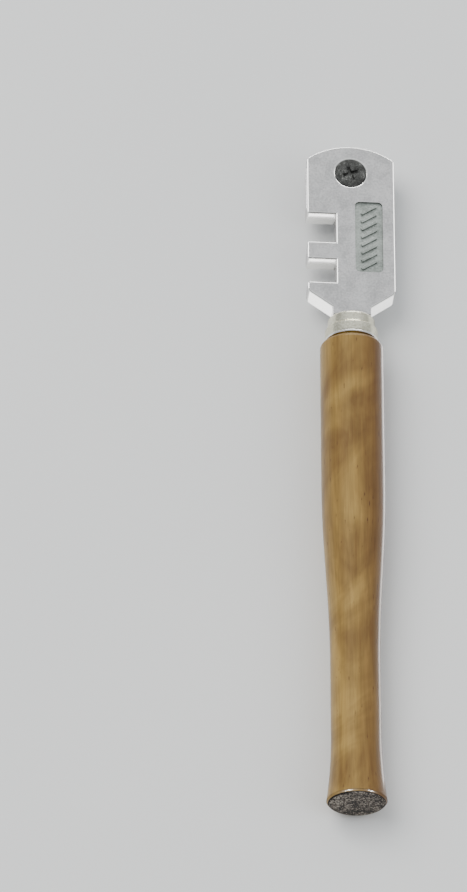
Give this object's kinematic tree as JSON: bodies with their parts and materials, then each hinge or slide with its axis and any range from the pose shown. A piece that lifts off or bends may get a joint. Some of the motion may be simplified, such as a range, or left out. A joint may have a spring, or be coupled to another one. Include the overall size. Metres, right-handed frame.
{
  "type": "glass cutter",
  "caption": "Turret glass cutter: a flat nickel-plated head with side breaking notches carries a turning turret of small cutting wheels, clamped by a screw, on a ferruled turned wooden handle.",
  "frame": {"origin": "middle of the tool's length and width, at the lowest point of the handle's grip, which is the surface the tool lies on", "axes": "+Y along the tool from the handle towards the cutting wheels, +X to the right seen from the front with the wheels up (the notches open towards -X), +Z out of the head's front face"},
  "size_m": [0.017, 0.1406, 0.0122],
  "materials": {
    "nickel_head": "satin nickel plate",
    "turret_steel": "turned steel",
    "wheel_steel": "ground hardened steel",
    "pin_steel": "polished steel",
    "black_steel": "blackened steel",
    "ferrule_nickel": "bright nickel plate on brass",
    "varnished_wood": "gloss varnish"
  },
  "bodies": {
    "tool_body": {"head_body": "nickel_head", "ferrule": "ferrule_nickel", "handle": "varnished_wood"},
    "turret": {"turret": "turret_steel", "wheel_pin_1": "pin_steel", "wheel_pin_2": "pin_steel", "wheel_pin_3": "pin_steel", "wheel_pin_4": "pin_steel", "wheel_pin_5": "pin_steel", "wheel_pin_6": "pin_steel"},
    "clamp_screw": {"clamp_screw": "black_steel"},
    "cutting_wheel_1": {"cutting_wheel_1": "wheel_steel"},
    "cutting_wheel_2": {"cutting_wheel_2": "wheel_steel"},
    "cutting_wheel_3": {"cutting_wheel_3": "wheel_steel"},
    "cutting_wheel_4": {"cutting_wheel_4": "wheel_steel"},
    "cutting_wheel_5": {"cutting_wheel_5": "wheel_steel"},
    "cutting_wheel_6": {"cutting_wheel_6": "wheel_steel"}
  },
  "joints": [
    {"name": "turret_turn", "type": "hinge", "parent": "tool_body", "child": "turret", "pos_m": [0, 0.06378, 0.0061], "axis": [0, 0, 1], "continuous": true},
    {"name": "clamp_screw_turn", "type": "hinge", "parent": "tool_body", "child": "clamp_screw", "pos_m": [0, 0.06378, 0.0061], "axis": [0, 0, 1], "range_deg": [0, 360]},
    {"name": "cutting_wheel_1_spin", "type": "hinge", "parent": "turret", "child": "cutting_wheel_1", "pos_m": [0, 0.06828, 0.0061], "axis": [0, 0, 1], "continuous": true},
    {"name": "cutting_wheel_2_spin", "type": "hinge", "parent": "turret", "child": "cutting_wheel_2", "pos_m": [0.0039, 0.06603, 0.0061], "axis": [0, 0, 1], "continuous": true},
    {"name": "cutting_wheel_3_spin", "type": "hinge", "parent": "turret", "child": "cutting_wheel_3", "pos_m": [0.0039, 0.06153, 0.0061], "axis": [0, 0, 1], "continuous": true},
    {"name": "cutting_wheel_4_spin", "type": "hinge", "parent": "turret", "child": "cutting_wheel_4", "pos_m": [0, 0.05928, 0.0061], "axis": [0, 0, 1], "continuous": true},
    {"name": "cutting_wheel_5_spin", "type": "hinge", "parent": "turret", "child": "cutting_wheel_5", "pos_m": [-0.0039, 0.06153, 0.0061], "axis": [0, 0, 1], "continuous": true},
    {"name": "cutting_wheel_6_spin", "type": "hinge", "parent": "turret", "child": "cutting_wheel_6", "pos_m": [-0.0039, 0.06603, 0.0061], "axis": [0, 0, 1], "continuous": true}
  ]
}
